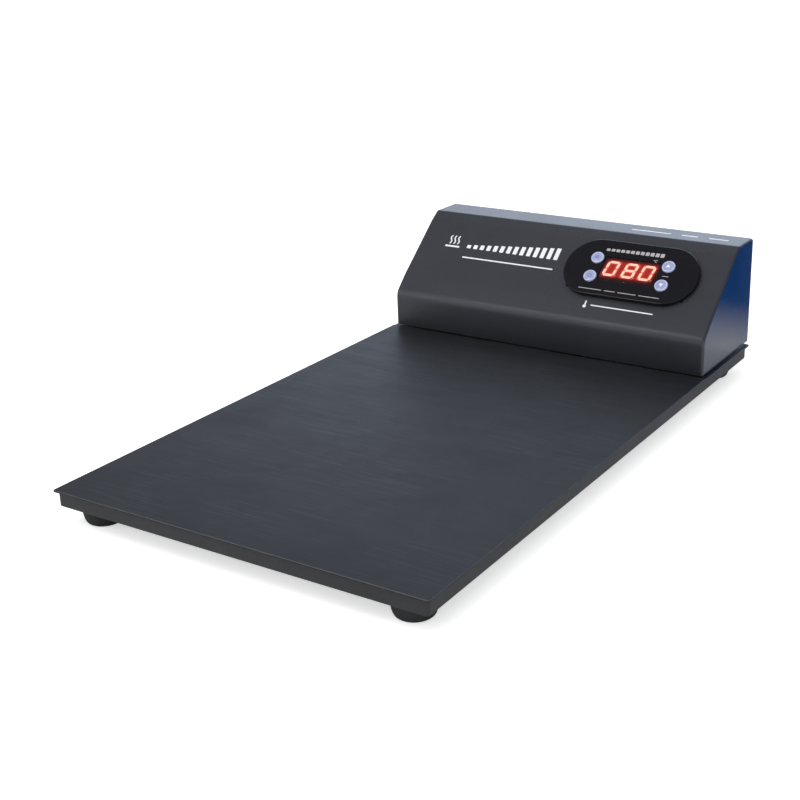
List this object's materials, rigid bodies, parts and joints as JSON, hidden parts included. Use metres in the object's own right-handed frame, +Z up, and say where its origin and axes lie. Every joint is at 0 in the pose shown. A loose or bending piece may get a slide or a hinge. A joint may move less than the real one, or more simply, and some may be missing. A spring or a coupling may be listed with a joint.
{
  "type": "digital hot plate",
  "caption": "Flat rectangular heating plate on a shallow tray with rubber feet and a wedge-shaped rear housing that holds a digital thermostat, its buttons, a mains inlet and a rocker switch.",
  "frame": {"origin": "on the floor, under the centre of the overall footprint", "axes": "+Z up; -Y is the operator side with the free plate edge; +Y is the control housing side; +X is the right-hand side seen from the operator"},
  "size_m": [0.19, 0.3272, 0.0737],
  "materials": {
    "plate_coating": "black anodised and coated aluminium, satin gloss",
    "mat_silicone": "matte silicone rubber heating mat",
    "blanket": "white needled glass-fibre blanket",
    "tray_paint": "black powder coat, satin",
    "foot_rubber": "black moulded rubber",
    "steel": "zinc-plated steel",
    "black_steel": "blackened steel screw",
    "housing_paint": "blue-black fine powder coat, satin",
    "chassis_paint": "black powder coat, satin",
    "spacer_fibre": "fibre insulating washer",
    "bezel_plastic": "black gloss moulded plastic",
    "window_lens": "smoked red clear lens",
    "led_module": "dark red LED display block, lit digits",
    "circuit_board": "green glass-epoxy board",
    "button_metal": "pearl lavender-silver coated button",
    "case_plastic": "black moulded plastic",
    "relay_blue": "blue relay case",
    "transformer_tape": "yellow taped transformer",
    "terminal_green": "green terminal block",
    "inlet_plastic": "black moulded inlet",
    "pin_brass": "nickel-plated brass",
    "fuse_glass": "glass fuse with metal ends",
    "switch_plastic": "black switch frame",
    "rocker_plastic": "red rocker",
    "red_silicone": "red silicone sleeve",
    "dark_wire": "dark grey insulated lead",
    "brown_wire": "brown insulated wire",
    "blue_wire": "blue insulated wire",
    "earth_wire": "green and yellow insulated wire"
  },
  "bodies": {
    "chassis": {"heating_plate": "plate_coating", "heater_mat": "mat_silicone", "insulation_blanket": "blanket", "base_tray": "tray_paint", "foot_front_left": "foot_rubber", "foot_screw_front_left": "steel", "housing_spacer_front_left": "spacer_fibre", "housing_screw_front_left": "steel", "foot_front_right": "foot_rubber", "foot_screw_front_right": "steel", "housing_spacer_front_right": "spacer_fibre", "housing_screw_front_right": "steel", "foot_rear_left": "foot_rubber", "foot_screw_rear_left": "steel", "housing_spacer_rear_left": "spacer_fibre", "housing_screw_rear_left": "steel", "foot_rear_right": "foot_rubber", "foot_screw_rear_right": "steel", "housing_spacer_rear_right": "spacer_fibre", "housing_screw_rear_right": "steel", "housing_cover": "housing_paint", "housing_chassis": "chassis_paint", "rear_screw_lower_left": "black_steel", "rear_screw_lower_right": "black_steel", "rear_screw_upper_left": "black_steel", "rear_screw_upper_right": "black_steel", "thermostat_bezel": "bezel_plastic", "display_window": "window_lens", "led_display": "led_module", "display_board": "circuit_board", "thermostat_case": "case_plastic", "power_board": "circuit_board", "relay": "relay_blue", "transformer": "transformer_tape", "terminal_block": "terminal_green", "inlet_body": "inlet_plastic", "inlet_pin_line": "pin_brass", "inlet_pin_neutral": "pin_brass", "inlet_pin_earth": "pin_brass", "inlet_screw_left": "steel", "inlet_screw_right": "steel", "switch_frame": "switch_plastic", "temperature_probe": "steel", "thermal_cutout": "case_plastic", "cable_grommet": "foot_rubber", "heater_cable": "red_silicone", "sensor_cable": "dark_wire", "switch_feed_wire": "brown_wire", "live_wire": "brown_wire", "neutral_wire": "blue_wire", "earth_wire": "earth_wire", "earth_screw": "pin_brass"},
    "push_upper_left": {"button_upper_left": "button_metal"},
    "push_lower_left": {"button_lower_left": "button_metal"},
    "push_upper_right": {"button_upper_right": "button_metal"},
    "push_lower_right": {"button_lower_right": "button_metal"},
    "fuse_carrier": {"fuse_drawer": "inlet_plastic", "fuse": "fuse_glass"},
    "rocker": {"switch_rocker": "rocker_plastic"}
  },
  "joints": [
    {"name": "press_upper_left", "type": "slide", "parent": "chassis", "child": "push_upper_left", "axis": [0, 0.6428, -0.766], "range_m": [0, 0.0006], "stiffness_N_per_m": 900},
    {"name": "press_lower_left", "type": "slide", "parent": "chassis", "child": "push_lower_left", "axis": [0, 0.6428, -0.766], "range_m": [0, 0.0006], "stiffness_N_per_m": 900},
    {"name": "press_upper_right", "type": "slide", "parent": "chassis", "child": "push_upper_right", "axis": [0, 0.6428, -0.766], "range_m": [0, 0.0006], "stiffness_N_per_m": 900},
    {"name": "press_lower_right", "type": "slide", "parent": "chassis", "child": "push_lower_right", "axis": [0, 0.6428, -0.766], "range_m": [0, 0.0006], "stiffness_N_per_m": 900},
    {"name": "power_rocker", "type": "hinge", "parent": "chassis", "child": "rocker", "pos_m": [-0.008, 0.15686, 0.044], "axis": [1, 0, 0], "range_deg": [-18, 0]},
    {"name": "fuse_drawer_slide", "type": "slide", "parent": "chassis", "child": "fuse_carrier", "axis": [0, 1, 0], "range_m": [0, 0.012]}
  ]
}
